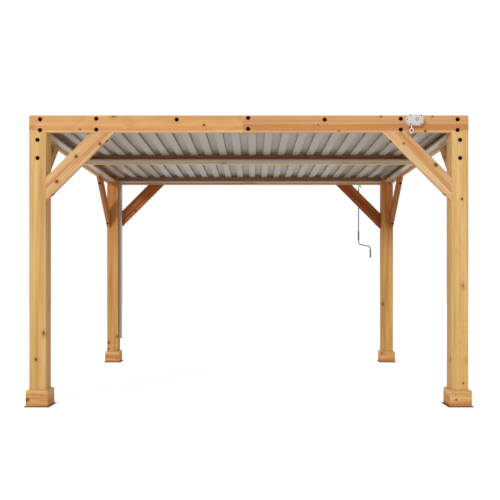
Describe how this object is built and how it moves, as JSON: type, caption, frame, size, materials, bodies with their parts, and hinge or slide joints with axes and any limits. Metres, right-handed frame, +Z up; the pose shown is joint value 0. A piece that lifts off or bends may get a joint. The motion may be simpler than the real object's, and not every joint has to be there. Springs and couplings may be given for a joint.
{
  "type": "louvered pergola",
  "caption": "Free-standing cedar pergola on four braced posts, with a roof of tilting aluminium louvres in two bays, gutters, a downspout and a crank drive.",
  "frame": {"origin": "centre of the plan on the ground, midway between the four posts", "axes": "+Z up, +X to the right along the long front beam, +Y from the front to the back"},
  "size_m": [3.728, 3.161, 2.425],
  "materials": {
    "cedar": "satin stained cedar",
    "plinth_cedar": "satin stained cedar",
    "louvre_aluminium": "powder coated, matt",
    "gutter_aluminium": "powder coated, matt",
    "rail_aluminium": "extruded, satin",
    "cast_housing": "die cast, painted",
    "base_steel": "dark powder coat",
    "zinc_steel": "galvanised",
    "crank_steel": "zinc plated with grey sleeves"
  },
  "bodies": {
    "frame": {"front_left_post": "cedar", "front_right_post": "cedar", "rear_left_post": "cedar", "rear_right_post": "cedar", "base_plates": "base_steel", "plinth_trims": "plinth_cedar", "front_beam": "cedar", "rear_beam": "cedar", "left_side_beam": "cedar", "right_side_beam": "cedar", "centre_rafter": "cedar", "rafter_hangers": "zinc_steel", "splice_cleats": "cedar", "front_knee_braces": "cedar", "rear_knee_braces": "cedar", "left_knee_braces": "cedar", "right_knee_braces": "cedar", "gutters": "gutter_aluminium", "pivot_rails": "rail_aluminium", "end_panels": "louvre_aluminium", "downspout": "gutter_aluminium", "front_gearbox": "cast_housing", "rear_gearbox": "cast_housing"},
    "front_eye": {"front_drive_eye": "cast_housing"},
    "crank": {"rear_drive_eye": "cast_housing", "crank_handle": "crank_steel"},
    "louvre_01": {"louvre_01": "louvre_aluminium"},
    "louvre_02": {"louvre_02": "louvre_aluminium"},
    "louvre_03": {"louvre_03": "louvre_aluminium"},
    "louvre_04": {"louvre_04": "louvre_aluminium"},
    "louvre_05": {"louvre_05": "louvre_aluminium"},
    "louvre_06": {"louvre_06": "louvre_aluminium"},
    "louvre_07": {"louvre_07": "louvre_aluminium"},
    "louvre_08": {"louvre_08": "louvre_aluminium"},
    "louvre_09": {"louvre_09": "louvre_aluminium"},
    "louvre_10": {"louvre_10": "louvre_aluminium"},
    "louvre_11": {"louvre_11": "louvre_aluminium"},
    "louvre_12": {"louvre_12": "louvre_aluminium"},
    "louvre_13": {"louvre_13": "louvre_aluminium"},
    "louvre_14": {"louvre_14": "louvre_aluminium"},
    "louvre_15": {"louvre_15": "louvre_aluminium"},
    "louvre_16": {"louvre_16": "louvre_aluminium"},
    "louvre_17": {"louvre_17": "louvre_aluminium"},
    "louvre_18": {"louvre_18": "louvre_aluminium"},
    "louvre_19": {"louvre_19": "louvre_aluminium"},
    "louvre_20": {"louvre_20": "louvre_aluminium"},
    "louvre_21": {"louvre_21": "louvre_aluminium"}
  },
  "joints": [
    {"name": "louvre_01_tilt", "type": "hinge", "parent": "frame", "child": "louvre_01", "pos_m": [-1.499, 0, 2.3815], "axis": [0, 1, 0], "range_deg": [0, 105]},
    {"name": "louvre_02_tilt", "type": "hinge", "parent": "frame", "child": "louvre_02", "pos_m": [-1.347, 0, 2.3815], "axis": [0, 1, 0], "range_deg": [0, 105]},
    {"name": "louvre_03_tilt", "type": "hinge", "parent": "frame", "child": "louvre_03", "pos_m": [-1.195, 0, 2.3815], "axis": [0, 1, 0], "range_deg": [0, 105]},
    {"name": "louvre_04_tilt", "type": "hinge", "parent": "frame", "child": "louvre_04", "pos_m": [-1.043, 0, 2.3815], "axis": [0, 1, 0], "range_deg": [0, 105]},
    {"name": "louvre_05_tilt", "type": "hinge", "parent": "frame", "child": "louvre_05", "pos_m": [-0.891, 0, 2.3815], "axis": [0, 1, 0], "range_deg": [0, 105]},
    {"name": "louvre_06_tilt", "type": "hinge", "parent": "frame", "child": "louvre_06", "pos_m": [-0.739, 0, 2.3815], "axis": [0, 1, 0], "range_deg": [0, 105]},
    {"name": "louvre_07_tilt", "type": "hinge", "parent": "frame", "child": "louvre_07", "pos_m": [-0.587, 0, 2.3815], "axis": [0, 1, 0], "range_deg": [0, 105]},
    {"name": "louvre_08_tilt", "type": "hinge", "parent": "frame", "child": "louvre_08", "pos_m": [-0.435, 0, 2.3815], "axis": [0, 1, 0], "range_deg": [0, 105]},
    {"name": "louvre_09_tilt", "type": "hinge", "parent": "frame", "child": "louvre_09", "pos_m": [-0.283, 0, 2.3815], "axis": [0, 1, 0], "range_deg": [0, 105]},
    {"name": "louvre_10_tilt", "type": "hinge", "parent": "frame", "child": "louvre_10", "pos_m": [-0.131, 0, 2.3815], "axis": [0, 1, 0], "range_deg": [0, 105]},
    {"name": "louvre_11_tilt", "type": "hinge", "parent": "frame", "child": "louvre_11", "pos_m": [0.021, 0, 2.3815], "axis": [0, 1, 0], "range_deg": [0, 105]},
    {"name": "louvre_12_tilt", "type": "hinge", "parent": "frame", "child": "louvre_12", "pos_m": [0.173, 0, 2.3815], "axis": [0, 1, 0], "range_deg": [0, 105]},
    {"name": "louvre_13_tilt", "type": "hinge", "parent": "frame", "child": "louvre_13", "pos_m": [0.325, 0, 2.3815], "axis": [0, 1, 0], "range_deg": [0, 105]},
    {"name": "louvre_14_tilt", "type": "hinge", "parent": "frame", "child": "louvre_14", "pos_m": [0.477, 0, 2.3815], "axis": [0, 1, 0], "range_deg": [0, 105]},
    {"name": "louvre_15_tilt", "type": "hinge", "parent": "frame", "child": "louvre_15", "pos_m": [0.629, 0, 2.3815], "axis": [0, 1, 0], "range_deg": [0, 105]},
    {"name": "louvre_16_tilt", "type": "hinge", "parent": "frame", "child": "louvre_16", "pos_m": [0.781, 0, 2.3815], "axis": [0, 1, 0], "range_deg": [0, 105]},
    {"name": "louvre_17_tilt", "type": "hinge", "parent": "frame", "child": "louvre_17", "pos_m": [0.933, 0, 2.3815], "axis": [0, 1, 0], "range_deg": [0, 105]},
    {"name": "louvre_18_tilt", "type": "hinge", "parent": "frame", "child": "louvre_18", "pos_m": [1.085, 0, 2.3815], "axis": [0, 1, 0], "range_deg": [0, 105]},
    {"name": "louvre_19_tilt", "type": "hinge", "parent": "frame", "child": "louvre_19", "pos_m": [1.237, 0, 2.3815], "axis": [0, 1, 0], "range_deg": [0, 105]},
    {"name": "louvre_20_tilt", "type": "hinge", "parent": "frame", "child": "louvre_20", "pos_m": [1.389, 0, 2.3815], "axis": [0, 1, 0], "range_deg": [0, 105]},
    {"name": "louvre_21_tilt", "type": "hinge", "parent": "frame", "child": "louvre_21", "pos_m": [1.541, 0, 2.3815], "axis": [0, 1, 0], "range_deg": [0, 105]},
    {"name": "front_eye_turn", "type": "hinge", "parent": "frame", "child": "front_eye", "pos_m": [1.349, -1.5515, 2.29], "axis": [0, 0, 1], "continuous": true},
    {"name": "crank_turn", "type": "hinge", "parent": "frame", "child": "crank", "pos_m": [1.429, 1.5515, 2.29], "axis": [0, 0, 1], "continuous": true}
  ],
  "couplings": [
    {"joint": "louvre_01_tilt", "follows": "louvre_20_tilt", "ratio": 1},
    {"joint": "louvre_02_tilt", "follows": "louvre_20_tilt", "ratio": 1},
    {"joint": "louvre_03_tilt", "follows": "louvre_20_tilt", "ratio": 1},
    {"joint": "louvre_04_tilt", "follows": "louvre_20_tilt", "ratio": 1},
    {"joint": "louvre_05_tilt", "follows": "louvre_20_tilt", "ratio": 1},
    {"joint": "louvre_06_tilt", "follows": "louvre_20_tilt", "ratio": 1},
    {"joint": "louvre_07_tilt", "follows": "louvre_20_tilt", "ratio": 1},
    {"joint": "louvre_08_tilt", "follows": "louvre_20_tilt", "ratio": 1},
    {"joint": "louvre_09_tilt", "follows": "louvre_20_tilt", "ratio": 1},
    {"joint": "louvre_10_tilt", "follows": "louvre_20_tilt", "ratio": 1},
    {"joint": "louvre_11_tilt", "follows": "louvre_20_tilt", "ratio": 1},
    {"joint": "louvre_12_tilt", "follows": "louvre_20_tilt", "ratio": 1},
    {"joint": "louvre_13_tilt", "follows": "louvre_20_tilt", "ratio": 1},
    {"joint": "louvre_14_tilt", "follows": "louvre_20_tilt", "ratio": 1},
    {"joint": "louvre_15_tilt", "follows": "louvre_20_tilt", "ratio": 1},
    {"joint": "louvre_16_tilt", "follows": "louvre_20_tilt", "ratio": 1},
    {"joint": "louvre_17_tilt", "follows": "louvre_20_tilt", "ratio": 1},
    {"joint": "louvre_18_tilt", "follows": "louvre_20_tilt", "ratio": 1},
    {"joint": "louvre_19_tilt", "follows": "louvre_20_tilt", "ratio": 1},
    {"joint": "louvre_21_tilt", "follows": "louvre_20_tilt", "ratio": 1}
  ]
}
